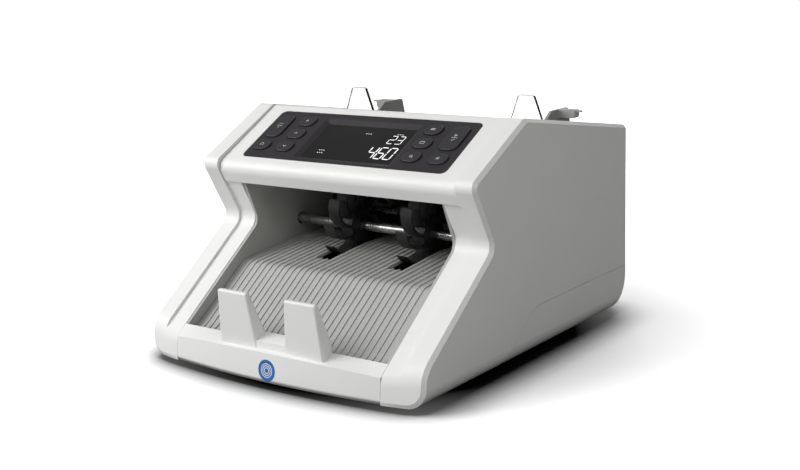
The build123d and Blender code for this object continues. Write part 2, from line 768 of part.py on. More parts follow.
def pinch_roller(places):
    """Idle roller that presses the notes on the transport rollers, moulded on its shaft."""
    with BuildPart() as roller:
        add(ring(PINCH, SHAFT_RADIUS, 0, -101, 101))
        add(roller_set(PINCH, PINCH_RADIUS, places, ROLLER_WIDTH, SHAFT_RADIUS - 1))
    return roller.part


def pulley(centre, radius, low=109.0, high=117.0, bore=SHAFT_RADIUS + 0.02):
    """Flanged belt pulley."""
    with BuildPart() as wheel:
        add(ring(centre, radius, bore, low, high))
        add(ring(centre, radius + 2.5, bore, low, low + 1))
        add(ring(centre, radius + 2.5, bore, high - 1, high))
    return wheel.part


def shaft_gear(centre, first, low=101.5, high=107.5):
    """Gear on a shaft, with its first tooth at an angle."""
    with BuildPart() as gear:
        with BuildSketch(side(low)):
            with Locations(centre):
                add(gear_face(GEAR_TEETH, GEAR_MODULE, SHAFT_RADIUS + 0.02, first))
        extrude(amount=high - low)
    return gear.part


def transport_pulley_gear(line_angle):
    """Gear and belt pulley moulded as one piece."""
    with BuildPart() as cluster:
        add(shaft_gear(TRANSPORT, line_angle))
        add(ring(TRANSPORT, 8, SHAFT_RADIUS + 0.02, 107.4, 109.1))
        add(pulley(TRANSPORT, PULLEY_RADIUS))
    return cluster.part


def stacker_wheels():
    """Two wheels with curved fingers that lay the notes down in the pocket."""
    fingers, hub, lean, thick = 12, 13.0, 42.0, 1.6
    with BuildPart() as wheels:
        for x in (-WHEEL_AT, WHEEL_AT):
            with BuildSketch(side(x - WHEEL_WIDTH / 2)):
                with Locations(STACKER):
                    Circle(hub)
                    with PolarLocations(0, fingers):
                        add(curved_finger(hub, lean, thick))
                    Circle(SHAFT_RADIUS + 0.02, mode=Mode.SUBTRACT)
            extrude(amount=WHEEL_WIDTH)
    return wheels.part


def curved_finger(hub, lean, thick):
    """One finger: an arc from inside the hub to the rim, trailing by the angle lean."""
    def at(radius, angle):
        return (radius * cos(radians(angle)), radius * sin(radians(angle)))

    with BuildSketch() as face:
        with BuildLine():
            start, middle, end = at(hub - 2, 0), at(26, -lean * 0.38), at(WHEEL_RADIUS, -lean)
            back_end = at(WHEEL_RADIUS, -lean - degrees(0.6 * thick / WHEEL_RADIUS))
            back_middle = at(26 - 0.3 * thick, -lean * 0.38 - degrees(1.1 * thick / 26))
            back_start = at(hub - 2, -degrees(1.6 * thick / hub))
            ThreePointArc(start, middle, end)
            Line(end, back_end)
            ThreePointArc(back_end, back_middle, back_start)
            Line(back_start, start)
        make_face()
    return face.sketch


def frame_plate(hand):
    """Steel side plate of the transport, with its foot flange."""
    low = FRAME_IN if hand > 0 else -FRAME_OUT
    flange = 12.0
    with BuildPart() as plate:
        with BuildSketch(side(low)):
            add(outline([(108, 12, 0), (108, 112, 3), (156, 112, 3), (156, 141, 3), (206, 141, 3),
                         (206, 113, 3), (284, 113, 3), (284, 24, 0), (272, 12, 0)]))
            for centre in (FEED, TRANSPORT, STACKER, PINCH):
                with Locations(centre):
                    Circle(BUSH_RADIUS, mode=Mode.SUBTRACT)
            with Locations(*RODS):
                Circle(ROD_RADIUS + 0.05, mode=Mode.SUBTRACT)
            if hand > 0:
                with Locations(MOTOR):
                    Circle(6, mode=Mode.SUBTRACT)
        extrude(amount=FRAME_OUT - FRAME_IN)
        with BuildSketch(level(BOSS_TOP)):
            with BuildLine():
                Polyline((hand * FRAME_IN, 108), (hand * (FRAME_IN - flange), 108),
                         (hand * (FRAME_IN - flange), 270), (hand * FRAME_IN, 270), close=True)
            make_face()
            with Locations(*[(x, back) for x, back in BOSSES if x * hand > 0]):
                Circle(SCREW_RADIUS, mode=Mode.SUBTRACT)
        extrude(amount=2)
    return plate.part


def cross_rods():
    """Turned rods that tie the two side plates together."""
    with BuildPart() as rods:
        for centre in RODS:
            add(ring(centre, ROD_RADIUS, 0, -FRAME_OUT - 1.5, FRAME_OUT + 1.5))
    return rods.part


def shaft_bushes():
    """Flanged bearing bushes of all the shafts, pressed into the side plates."""
    with BuildPart() as bushes:
        for centre in (FEED, TRANSPORT, STACKER, PINCH):
            for hand in (-1, 1):
                low, high = sorted((hand * FRAME_IN, hand * FRAME_OUT))
                add(ring(centre, BUSH_RADIUS, SHAFT_RADIUS + 0.05, low, high))
                low, high = sorted((hand * FRAME_OUT, hand * (FRAME_OUT + 1.5)))
                add(ring(centre, BUSH_RADIUS + 1.5, SHAFT_RADIUS + 0.05, low, high))
    return bushes.part


def drive_belt():
    """Belt round the motor, transport and stacker pulleys."""
    pulleys = ((MOTOR, MOTOR_PULLEY_RADIUS), (TRANSPORT, PULLEY_RADIUS), (STACKER, PULLEY_RADIUS))
    loops = []
    for extra in (0.25 + BELT_THICK, 0.25):
        with BuildSketch() as loop:
            for centre, radius in pulleys:
                with Locations(centre):
                    Circle(radius + extra)
            make_hull()
        loops.append(loop.sketch)
    with BuildPart() as belt:
        with BuildSketch(side(110.3)):
            add(loops[0])
            add(loops[1], mode=Mode.SUBTRACT)
        extrude(amount=5.4)
    return belt.part


def drive_motor():
    """Motor can with its boss and terminals, on the right side plate."""
    with BuildPart() as motor:
        add(ring(MOTOR, 18, 0, 34, 94))
        fillet(motor.edges().filter_by(GeomType.CIRCLE), radius=2)
        add(ring(MOTOR, 5.5, 3, 94, FRAME_OUT))
        add(ring(MOTOR, 16, 3, 93, FRAME_IN))
        add(ring(MOTOR, 7, 0, 30, 35))
    return motor.part


def motor_pulley():
    """Motor shaft end with its small flanged pulley."""
    with BuildPart() as wheel:
        add(ring(MOTOR, 2.9, 0, 94.2, 117.5))
        add(pulley(MOTOR, MOTOR_PULLEY_RADIUS, bore=2))
    return wheel.part


def box(x_range, back_range, up_range):
    """Plain block between two corners."""
    (x0, x1), (b0, b1), (u0, u1) = x_range, back_range, up_range
    return slab(polygon((b0, u0), (b1, u0), (b1, u1), (b0, u1)), x0, x1)


def sensor_bar():
    """Bar of sensors that each note passes, with its sensing windows."""
    with BuildPart() as bar:
        add(box((-56, 56), (192.6, 196.8), (62, 80)))
        for x in (-45, -15, 15, 45):
            add(box((x - 4, x + 4), (196.8, 198), (68, 76)))
    return bar.part


def main_board():
    """Main circuit board with its larger components."""
    with BuildPart() as board:
        add(box((-78, 78), (108, 186), (18, 19.6)))
        for x, back, wide, deep, tall in ((-40, 150, 24, 24, 3), (10, 130, 14, 10, 3), (10, 165, 30, 16, 8),
                                          (55, 120, 12, 20, 10), (55, 170, 10, 26, 9), (-66, 125, 8, 22, 8)):
            add(box((x - wide / 2, x + wide / 2), (back - deep / 2, back + deep / 2), (19.6, 19.6 + tall)))
        for x, back in ((-70, 112), (70, 112), (-70, 182), (70, 182)):
            add(upright((x, back), 3, FOOT_HEIGHT + WALL, 18))
    return board.part


def upright(place, radius, low, high):
    """Upright round post."""
    with BuildPart() as post:
        with BuildSketch(level(low)):
            with Locations(place):
                Circle(radius)
        extrude(amount=high - low)
    return post.part


def power_supply():
    """Power supply in a vented metal box."""
    with BuildPart() as supply:
        add(box((-80, 18), (214, 262), (8, 44)))
        with BuildSketch(level(46)):
            with Locations((-31, 238)):
                with GridLocations(9, 12, 9, 4):
                    SlotOverall(7, 3, rotation=90)
        extrude(amount=-5, mode=Mode.SUBTRACT)
        add(box((-80, 18), (214, 262), (FOOT_HEIGHT + WALL, 9)))
    return supply.part


def ribbon_cable():
    """Flat cable from the panel board down to the main board."""
    route = [(113.5, 146.5), (160, 150), (196, 128), (198.2, 30), (190, 24), (184, 24)]
    with BuildPart() as cable:
        with BuildSketch(side(64)):
            add(stroke(route, 0.8, 3))
        extrude(amount=20)
    return cable.part


# --- Back panel, feet and fasteners -----------------------------------------------------------


def rear_panel():
    """Back panel with the door opening, the power module's opening and the port openings."""
    half = HOUSING_HALF - GAP
    slot = DOOR_HALF + 0.4
    with BuildPart() as sheet:
        with BuildSketch(facing(BACK_OUT)):
            add(polygon((-half, 39.8), (half, 39.8), (half, POCKET_TOP), (-half, POCKET_TOP)))
            add(polygon((-slot, DOOR_LOW - 1.7), (slot, DOOR_LOW - 1.7), (slot, DOOR_HIGH + 0.4),
                        (-slot, DOOR_HIGH + 0.4)), mode=Mode.SUBTRACT)
            with Locations((INLET_X + 12, MODULE_UP)):
                Rectangle(52.4, 20.4, mode=Mode.SUBTRACT)
            with Locations(*PORTS):
                Rectangle(15.4, 13.4, mode=Mode.SUBTRACT)
        extrude(amount=BACK_OUT - BACK_IN)
        for hand in (-1, 1):
            low, high = sorted((hand * slot, hand * (slot + 4)))
            add(ring(((BACK_IN + BACK_OUT) / 2, DOOR_LOW), 0.9, 0, low, high), mode=Mode.SUBTRACT)
    return sheet.part


def rear_door():
    """Service door, hinged on two pins along its lower edge."""
    middle, thick = (BACK_IN + BACK_OUT) / 2, 2.0
    with BuildPart() as door:
        add(box((-DOOR_HALF, DOOR_HALF), (middle - thick / 2, middle + thick / 2), (DOOR_LOW, DOOR_HIGH)))
        add(ring((middle, DOOR_LOW), thick / 2, 0, -DOOR_HALF, DOOR_HALF))
        add(ring((middle, DOOR_LOW), 0.8, 0, -DOOR_HALF - 3.5, DOOR_HALF + 3.5))
        with BuildSketch(facing(middle + thick / 2)):
            with Locations((0, DOOR_HIGH - 9)):
                SlotOverall(34, 9)
        extrude(amount=1.2, mode=Mode.SUBTRACT)
    return door.part


def power_inlet():
    """Power module: three-pin inlet beside the opening for the rocker switch."""
    with BuildPart() as module:
        with BuildSketch(facing(BACK_OUT + 1.4)):
            with Locations((INLET_X + 12, MODULE_UP)):
                RectangleRounded(58, 25, 2)
        extrude(amount=1.4)
        with BuildSketch(facing(BACK_OUT)):
            with Locations((INLET_X + 12, MODULE_UP)):
                Rectangle(52, 20)
        extrude(amount=20)
        add(ring((ROCKER_PIVOT, MODULE_UP), 1.6, 0, ROCKER_X - 6.1, ROCKER_X + 6.1), mode=Mode.SUBTRACT)
        with BuildSketch(facing(BACK_OUT + 1.4)):
            with Locations((INLET_X, MODULE_UP)):
                add(outline([(-12.2, -8.3, 1), (12.2, -8.3, 1), (12.2, 4.5, 1), (8, 8.3, 1), (-8, 8.3, 1),
                             (-12.2, 4.5, 1)]))
            with Locations((ROCKER_X, MODULE_UP)):
                Rectangle(11, 18.8)
        extrude(amount=17, mode=Mode.SUBTRACT)
        for x, up in ((-7, -1.5), (0, 2.5), (7, -1.5)):
            with BuildSketch(facing(BACK_OUT - 3)):
                with Locations((INLET_X + x, MODULE_UP + up)):
                    Rectangle(2, 4)
            extrude(amount=14)
    return module.part


def power_rocker():
    """Rocker of the power switch on its two pivot pins, resting with its lower half pressed."""
    shape = polygon((-3, -4), (-3, 4), (2.8, 8.6), (5.1, 8.6), (4.2, 0), (5.1, -8.6), (2.8, -8.6))
    with BuildPart() as rocker:
        with BuildSketch(side(ROCKER_X - 5.2)):
            with Locations(Location((ROCKER_PIVOT, MODULE_UP, 0), (0, 0, ROCKER_TILT))):
                add(shape)
        extrude(amount=10.4)
        add(ring((ROCKER_PIVOT, MODULE_UP), 1.5, 0, ROCKER_X - 6, ROCKER_X + 6))
    return rocker.part


def data_ports():
    """Two sockets of the data and display connections."""
    with BuildPart() as ports:
        for x, up in PORTS:
            add(box((x - 7.5, x + 7.5), (BACK_OUT - 14, BACK_OUT + 0.4), (up - 6.5, up + 6.5)))
            add(box((x - 5.5, x + 5.5), (BACK_OUT - 11, BACK_OUT + 2), (up - 4, up + 4)), mode=Mode.SUBTRACT)
    return ports.part


def rubber_feet():
    """Four rubber feet under the tub."""
    with BuildPart() as feet:
        for place in FEET:
            with BuildSketch(level(0)):
                with Locations(place):
                    Circle(8)
            extrude(amount=FOOT_HEIGHT)
        fillet(feet.edges().group_by(Axis.Z)[0], radius=0.8)
    return feet.part


def case_screws():
    """Screws from under the tub into the side plates' flanges."""
    with BuildPart() as screws:
        for place in BOSSES:
            add(upright(place, 3.2, FOOT_HEIGHT - 2.2, FOOT_HEIGHT - 0.1))
            add(upright(place, SCREW_RADIUS - 0.1, FOOT_HEIGHT - 1, BOSS_TOP + 2.5))
    return screws.part


# --- Build and write every piece --------------------------------------------------------------

right_cover = side_cover()
save(right_cover, "right_side_cover")
save(mirror(right_cover, about=Plane.YZ), "left_side_cover")
line_angle = degrees(atan2(FEED[1] - TRANSPORT[1], FEED[0] - TRANSPORT[0]))
half_tooth_angle = 180 / GEAR_TEETH

for name, maker in {
    "base_shell": base_shell, "front_lip": front_lip, "front_badge": front_badge,
    "stacker_plate": stacker_plate, "pocket_side_walls": pocket_side_walls,
    "pocket_back_wall": pocket_back_wall, "control_housing": control_housing,
    "control_fascia": control_fascia, "display_window": display_window,
    "display_module": display_module, "top_cover": top_cover, "hopper_tray": hopper_tray,
    "clear_stops": clear_stops, "guide_pinion": guide_pinion, "pinion_bridge": pinion_bridge,
    "gap_screw": gap_screw, "retard_pad": retard_pad, "stacker_wheels": stacker_wheels,
    "cross_rods": cross_rods, "shaft_bushes": shaft_bushes, "drive_belt": drive_belt,
    "drive_motor": drive_motor, "motor_pulley": motor_pulley, "sensor_bar": sensor_bar,
    "main_board": main_board, "power_supply": power_supply, "ribbon_cable": ribbon_cable,
    "rear_panel": rear_panel, "rear_door": rear_door, "power_inlet": power_inlet,
    "power_rocker": power_rocker, "data_ports": data_ports, "rubber_feet": rubber_feet,
    "case_screws": case_screws,
}.items():
    save(maker(), name)

save(panel_sheet(-FASCIA_THICK - 0.1, 1.3, 4), "key_mat")
save(panel_sheet(-FASCIA_THICK - 1.4, 1.6, 3), "panel_board")
for name, place, rows in key_positions():
    save(key(place, rows), name)
plates = []
for hand, word in ((-1, "left"), (1, "right")):
    save(note_guide(hand), f"{word}_note_guide")
    plates.append(frame_plate(hand))

save(Compound(children=plates), "frame_plates")

rollers = (-ROLLER_AT, ROLLER_AT)
save(ring(FEED, SHAFT_RADIUS, 0, -101, 108), "feed_shaft")
save(roller_set(FEED, FEED_RADIUS, rollers, ROLLER_WIDTH), "feed_rollers")
save(shaft_gear(FEED, line_angle + 180 + half_tooth_angle), "feed_gear")
save(ring(TRANSPORT, SHAFT_RADIUS, 0, -101, 117.5), "transport_shaft")
save(roller_set(TRANSPORT, TRANSPORT_RADIUS, rollers, ROLLER_WIDTH), "transport_rollers")
save(transport_pulley_gear(line_angle), "transport_pulley_gear")
save(pinch_roller(rollers), "pinch_roller")
save(ring(STACKER, SHAFT_RADIUS, 0, -101, 117.5), "stacker_shaft")
save(pulley(STACKER, PULLEY_RADIUS), "stacker_pulley")
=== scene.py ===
"""Looks of the desktop banknote counter: materials, small printed detail, studio.

Everything is in metres in the frame of the CAD model: +X to the operator's right, +Y to the back,
+Z up, with the origin on the table under the middle of the machine.
"""

import json
from math import cos, radians, sin

import bmesh
import bpy
from mathutils import Matrix, Vector

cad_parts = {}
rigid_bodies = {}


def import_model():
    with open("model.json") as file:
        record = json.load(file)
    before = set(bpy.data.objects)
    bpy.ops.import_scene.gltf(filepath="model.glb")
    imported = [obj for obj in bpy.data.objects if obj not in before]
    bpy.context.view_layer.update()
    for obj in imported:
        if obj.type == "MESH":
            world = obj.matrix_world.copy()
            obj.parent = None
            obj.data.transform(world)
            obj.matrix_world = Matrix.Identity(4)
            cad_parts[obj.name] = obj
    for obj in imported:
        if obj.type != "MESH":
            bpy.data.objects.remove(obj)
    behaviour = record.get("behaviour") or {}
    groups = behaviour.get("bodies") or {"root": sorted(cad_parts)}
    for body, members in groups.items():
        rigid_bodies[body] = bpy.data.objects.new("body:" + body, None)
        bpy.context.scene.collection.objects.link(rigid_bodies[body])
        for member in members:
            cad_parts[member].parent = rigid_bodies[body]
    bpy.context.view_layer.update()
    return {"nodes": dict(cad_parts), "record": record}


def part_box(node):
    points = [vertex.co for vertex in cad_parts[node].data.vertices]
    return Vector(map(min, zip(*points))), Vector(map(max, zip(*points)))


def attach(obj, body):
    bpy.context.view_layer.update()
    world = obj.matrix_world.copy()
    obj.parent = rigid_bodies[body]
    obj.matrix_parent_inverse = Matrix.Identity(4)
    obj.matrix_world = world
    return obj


for leftover in list(bpy.data.objects):
    bpy.data.objects.remove(leftover)

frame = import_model()
nodes = frame["nodes"]
MM = 0.001
PRINT_LIFT = 0.01 * MM  # gap under a print, so that it doesn't lie in the face below it

# --- Places on the key panel, worked out from the frame -----------------------------------------

PANEL_TILT = radians(28.4)
PANEL_OUT = Vector((0, -sin(PANEL_TILT), cos(PANEL_TILT)))
PANEL_UP = Vector((0, cos(PANEL_TILT), sin(PANEL_TILT)))
PANEL_TURN = Matrix((Vector((1, 0, 0)), PANEL_UP, PANEL_OUT)).transposed()


def panel_spot(node, lift=0.0):
    """Middle of the node's outer face on the sloping panel, lift metres above its highest point."""
    points = [v.co for v in nodes[node].data.vertices]
    across = [p.x for p in points]
    up = [p.dot(PANEL_UP) for p in points]
    out = max(p.dot(PANEL_OUT) for p in points)
    middle = Vector(((min(across) + max(across)) / 2, 0, 0))
    return middle + PANEL_UP * ((min(up) + max(up)) / 2) + PANEL_OUT * (out + lift)


# --- Camera -------------------------------------------------------------------------------------


CAMERA_PLACE = (0.58037, -0.76602, 0.29472)
CAMERA_TURN, CAMERA_RISE, CAMERA_ROLL = 36.735, 12.639, -1.992
CAMERA_LENS, SENSOR_WIDTH = 57.91, 36.0


def add_camera():
    """Camera in front of the machine, to its right and a little above it."""
    turn, rise, roll = radians(CAMERA_TURN), radians(CAMERA_RISE), radians(CAMERA_ROLL)
    data = bpy.data.cameras.new("camera")
    data.lens, data.sensor_width = CAMERA_LENS, SENSOR_WIDTH
    data.clip_start, data.clip_end = 0.05, 20
    back = Vector((sin(turn) * cos(rise), -cos(turn) * cos(rise), sin(rise)))
    right = Vector((cos(turn), sin(turn), 0))
    up = back.cross(right)
    right, up = cos(roll) * right + sin(roll) * up, cos(roll) * up - sin(roll) * right
    camera = bpy.data.objects.new("camera", data)
    bpy.context.collection.objects.link(camera)
    camera.matrix_world = Matrix.Translation(CAMERA_PLACE) @ Matrix((right, up, back)).transposed().to_4x4()
    bpy.context.scene.camera = camera


# --- Materials ----------------------------------------------------------------------------------


class Surface:
    """A node material being built: one principled shader and short helpers to feed it."""

    def __init__(self, name, **inputs):
        self.material = bpy.data.materials.new(name)
        self.material.use_nodes = True
        self.tree = self.material.node_tree
        self.shader = self.tree.nodes["Principled BSDF"]
        self.place = self.add("ShaderNodeTexCoord").outputs["Object"]
        for socket, value in inputs.items():
            self.shader.inputs[socket.replace("_", " ")].default_value = value

    def add(self, kind, **settings):
        """New node with its properties set."""
        node = self.tree.nodes.new(kind)
        for key, value in settings.items():
            setattr(node, key, value)
        return node

    def link(self, output, target):
        """Link an output to a target socket."""
        self.tree.links.new(output, target)

    def feed(self, socket, output):
        """Link an output to an input of the shader."""
        self.link(output, self.shader.inputs[socket])

    def stretch(self, scale):
        """Object coordinates scaled along each axis."""
        mapping = self.add("ShaderNodeMapping")
        mapping.inputs["Scale"].default_value = scale
        self.link(self.place, mapping.inputs["Vector"])
        return mapping.outputs["Vector"]

    def noise(self, scale, detail=3.0, roughness=0.55, place=None):
        """Noise factor; scale is in waves per metre."""
        node = self.add("ShaderNodeTexNoise")
        node.inputs["Scale"].default_value = scale
        node.inputs["Detail"].default_value = detail
        node.inputs["Roughness"].default_value = roughness
        self.link(place or self.place, node.inputs["Vector"])
        return node.outputs["Fac"]

    def spread(self, factor, low, high, start=0.3, stop=0.7):
        """Remap a factor to the range low to high."""
        node = self.add("ShaderNodeMapRange")
        for key, value in (("From Min", start), ("From Max", stop), ("To Min", low), ("To Max", high)):
            node.inputs[key].default_value = value
        self.link(factor, node.inputs["Value"])
        return node.outputs["Result"]

    def tint(self, factor, stops):
        """Colour ramp through (position, colour) stops."""
        node = self.add("ShaderNodeValToRGB")
        ramp = node.color_ramp
        while len(ramp.elements) < len(stops):
            ramp.elements.new(0.5)
        for element, (position, colour) in zip(ramp.elements, stops):
            element.position, element.color = position, (*colour, 1)
        self.link(factor, node.inputs["Fac"])
        return node.outputs["Color"]

    def bump(self, *layers):
        """Bump from (height factor, distance in metres, strength) layers, one on top of the other."""
        normal = None
        for height, distance, strength in layers:
            node = self.add("ShaderNodeBump")
            node.inputs["Distance"].default_value = distance
            node.inputs["Strength"].default_value = strength
            self.link(height, node.inputs["Height"])
            if normal:
                self.link(normal, node.inputs["Normal"])
            normal = node.outputs["Normal"]
        self.feed("Normal", normal)


def shade(colour, factor):
    """Colour made darker or lighter."""
    return tuple(min(1.0, c * factor) for c in colour)


def moulded(name, colour, rough, grain=2600, depth=0.00004, mottle=0.03, **inputs):
    """Injection-moulded plastic: eroded grain, faint mottling and an uneven sheen."""
    surface = Surface(name, **inputs)
    cloud = surface.noise(22, 2)
    surface.feed("Base Color", surface.tint(cloud, [(0.3, shade(colour, 1 - mottle)),
                                                    (0.7, shade(colour, 1 + mottle))]))
    patch = surface.noise(300, 4)
    surface.feed("Roughness", surface.spread(patch, rough - 0.05, rough + 0.05))
    surface.bump((surface.noise(grain, 3), depth, 0.35))
    return surface.material


def white_cover():
    return moulded("white cover plastic", (0.83, 0.83, 0.815), 0.42, mottle=0.012, Specular_IOR_Level=0.45)


def pocket_plastic():
    return moulded("light grey pocket plastic", (0.45, 0.455, 0.435), 0.45, mottle=0.03)


def liner_plastic():
    return moulded("grey liner plastic", (0.43, 0.435, 0.41), 0.6, grain=1900, depth=0.00006, mottle=0.06)


def fascia_plastic():
    return moulded("charcoal fascia plastic", (0.03, 0.027, 0.03), 0.55, mottle=0.05,
                   Specular_IOR_Level=0.25)


def key_rubber():
    return moulded("charcoal key rubber", (0.03, 0.028, 0.031), 0.46, grain=3200, mottle=0.08,
                   Specular_IOR_Level=0.4)


def guide_plastic():
    return moulded("grey guide plastic", (0.3, 0.3, 0.29), 0.5, mottle=0.05)


def black_plastic():
    return moulded("black plastic", (0.014, 0.014, 0.015), 0.5, grain=1800, depth=0.00005, mottle=0.15)


def gear_plastic():
    return moulded("natural gear plastic", (0.72, 0.7, 0.62), 0.34, grain=3000, mottle=0.04,
                   Subsurface_Weight=0.05, Subsurface_Scale=0.002)


def rubber(name, colour, rough):
    """Ground or moulded rubber with a fine pitted skin and a dusty bloom."""
    surface = Surface(name, Specular_IOR_Level=0.35)
    bloom = surface.noise(90, 5)
    surface.feed("Base Color", surface.tint(bloom, [(0.25, shade(colour, 0.75)),
                                                    (0.8, shade(colour, 1.6))]))
    surface.feed("Roughness", surface.spread(bloom, rough - 0.08, rough + 0.06))
    surface.bump((surface.noise(2200, 5, 0.7), 0.00006, 0.5), (surface.noise(380, 3), 0.00005, 0.25))
    return surface.material


def belt_rubber():
    """Black belt with fine cross ribs from its mould."""
    surface = Surface("belt rubber", Specular_IOR_Level=0.35)
    ribs = surface.add("ShaderNodeTexWave", wave_type="BANDS", bands_direction="X")
    ribs.inputs["Scale"].default_value = 900
    surface.link(surface.place, ribs.inputs["Vector"])
    dust = surface.noise(140, 4)
    surface.feed("Base Color", surface.tint(dust, [(0.3, (0.012, 0.012, 0.012)),
                                                   (0.8, (0.04, 0.039, 0.037))]))
    surface.feed("Roughness", surface.spread(dust, 0.55, 0.75))
    surface.bump((ribs.outputs["Fac"], 0.00008, 0.5))
    return surface.material


def turned_steel():
    """Bright steel with turning marks across the shafts."""
    surface = Surface("turned steel", Metallic=1.0)
    marks = surface.noise(900, 3, place=surface.stretch((3.5, 0.05, 0.05)))
    stain = surface.noise(45, 4)
    surface.feed("Base Color", surface.tint(stain, [(0.3, (0.46, 0.46, 0.45)), (0.7, (0.62, 0.62, 0.61))]))
    surface.feed("Roughness", surface.spread(marks, 0.18, 0.36))
    surface.bump((marks, 0.00002, 0.3))
    return surface.material


def plated_sheet():
    """Zinc-plated sheet with a faint spangle and rolling lines."""
    surface = Surface("zinc plated sheet", Metallic=1.0)
    spangle = surface.add("ShaderNodeTexVoronoi")
    spangle.inputs["Scale"].default_value = 160
    surface.link(surface.place, spangle.inputs["Vector"])
    rolled = surface.noise(700, 3, place=surface.stretch((1, 0.04, 1)))
    surface.feed("Base Color", surface.tint(spangle.outputs["Distance"], [(0.1, (0.5, 0.51, 0.5)),
                                                                          (0.8, (0.6, 0.61, 0.62))]))
    surface.feed("Roughness", surface.spread(rolled, 0.3, 0.46))
    surface.bump((rolled, 0.00002, 0.3))
    return surface.material


def bronze():
    surface = Surface("sintered bronze", Metallic=1.0)
    pores = surface.noise(1500, 5, 0.7)
    surface.feed("Base Color", surface.tint(pores, [(0.3, (0.34, 0.2, 0.09)), (0.7, (0.55, 0.37, 0.18))]))
    surface.feed("Roughness", surface.spread(pores, 0.36, 0.55))
    surface.bump((pores, 0.00003, 0.4))
    return surface.material


def motor_metal():
    surface = Surface("motor can", Metallic=0.85)
    wear = surface.noise(60, 5)
    surface.feed("Base Color", surface.tint(wear, [(0.3, (0.2, 0.2, 0.21)), (0.75, (0.32, 0.33, 0.34))]))
    surface.feed("Roughness", surface.spread(wear, 0.3, 0.5))
    surface.bump((surface.noise(1200, 3), 0.00002, 0.3))
    return surface.material


def circuit_board():
    """Green solder mask with paler copper runs showing through."""
    surface = Surface("circuit board", Coat_Weight=0.4, Coat_Roughness=0.2)
    runs = surface.add("ShaderNodeTexBrick", offset=0.5)
    for key, value in (("Scale", 120.0), ("Mortar Size", 0.03), ("Brick Width", 1.4), ("Row Height", 0.3)):
        runs.inputs[key].default_value = value
    for key, value in (("Color1", (0.015, 0.12, 0.05)), ("Color2", (0.02, 0.15, 0.06)),
                       ("Mortar", (0.05, 0.24, 0.11))):
        runs.inputs[key].default_value = (*value, 1)
    surface.link(surface.place, runs.inputs["Vector"])
    surface.feed("Base Color", runs.outputs["Color"])
    surface.feed("Roughness", surface.spread(surface.noise(400), 0.35, 0.5))
    surface.bump((runs.outputs["Fac"], 0.00004, 0.4))
    return surface.material


def flat_cable():
    """Grey flat cable, ribbed by its conductors, with one marked edge."""
    surface = Surface("flat cable")
    ribs = surface.add("ShaderNodeTexWave", wave_type="BANDS", bands_direction="X")
    ribs.inputs["Scale"].default_value = 250
    surface.link(surface.place, ribs.inputs["Vector"])
    surface.feed("Base Color", surface.tint(ribs.outputs["Fac"], [(0.1, (0.3, 0.3, 0.32)),
                                                                  (0.9, (0.5, 0.5, 0.52))]))
    surface.feed("Roughness", surface.spread(surface.noise(200), 0.4, 0.55))
    surface.bump((ribs.outputs["Fac"], 0.0002, 0.5))
    return surface.material


def clear_acrylic():
    """Clear plastic with hardly visible flow marks."""
    surface = Surface("clear acrylic", Transmission_Weight=1.0, IOR=1.49)
    flow = surface.noise(35, 2)
    surface.feed("Base Color", surface.tint(flow, [(0.3, (0.93, 0.95, 0.955)), (0.7, (0.97, 0.98, 0.985))]))
    surface.feed("Roughness", surface.spread(surface.noise(260, 3), 0.015, 0.06))
    surface.bump((flow, 0.0001, 0.1))
    return surface.material


def display_glass():
    """Glossy black pane over the display."""
    surface = Surface("display glass", Specular_IOR_Level=0.22, Coat_Weight=0.03, Coat_Roughness=0.04)
    surface.feed("Base Color", surface.tint(surface.noise(30, 2), [(0.3, (0.006, 0.006, 0.006)),
                                                                   (0.7, (0.011, 0.011, 0.011))]))
    surface.feed("Roughness", surface.spread(surface.noise(500, 3), 0.1, 0.16))
    surface.bump((surface.noise(60, 2), 0.00001, 0.1))
    return surface.material


def badge_enamel():
    """Glossy blue face of the round badge."""
    surface = Surface("blue badge", Coat_Weight=0.5, Coat_Roughness=0.1)
    surface.feed("Base Color", surface.tint(surface.noise(120, 2), [(0.3, (0.012, 0.13, 0.42)),
                                                                    (0.7, (0.016, 0.16, 0.5))]))
    surface.feed("Roughness", surface.spread(surface.noise(900, 3), 0.25, 0.35))
    surface.bump((surface.noise(900, 2), 0.00002, 0.2))
    return surface.material


def print_white(name, strength=0.0):
    """White print, lit from behind when strength is over nothing."""
    surface = Surface(name, Emission_Strength=strength)
    ink = surface.tint(surface.noise(1500, 3), [(0.3, (0.72, 0.73, 0.74)), (0.7, (0.86, 0.87, 0.88))])
    surface.feed("Base Color", ink)
    surface.feed("Roughness", surface.spread(surface.noise(1500, 3), 0.45, 0.6))
    if strength:
        surface.feed("Emission Color", ink)
    return surface.material


def paint_nodes():
    """A finished material on every CAD node, by its slot in the record."""
    makers = {
        "cover_white": white_cover, "fascia_charcoal": fascia_plastic, "key_charcoal": key_rubber,
        "display_black": display_glass, "display_metal": plated_sheet, "clear": clear_acrylic,
        "badge_blue": badge_enamel, "pocket_grey": pocket_plastic, "liner_grey": liner_plastic,
        "black_plastic": black_plastic, "guide_grey": guide_plastic, "steel": turned_steel,
        "zinc_sheet": plated_sheet, "belt_rubber": belt_rubber, "gear_white": gear_plastic,
        "roller_rubber": lambda: rubber("roller rubber", (0.03, 0.03, 0.032), 0.62),
        "foot_rubber": lambda: rubber("foot rubber", (0.018, 0.018, 0.018), 0.75),
        "bush_bronze": bronze, "motor_metal": motor_metal, "board_green": circuit_board,
        "cable_grey": flat_cable,
    }
    made = {}
    for part in frame["record"]["subparts"]:
        slot = part["material_slot"]
        if slot not in made:
            made[slot] = makers[slot]()
        materials = nodes[part["node"]].data.materials
        for k in range(len(materials)):
            materials[k] = made[slot]
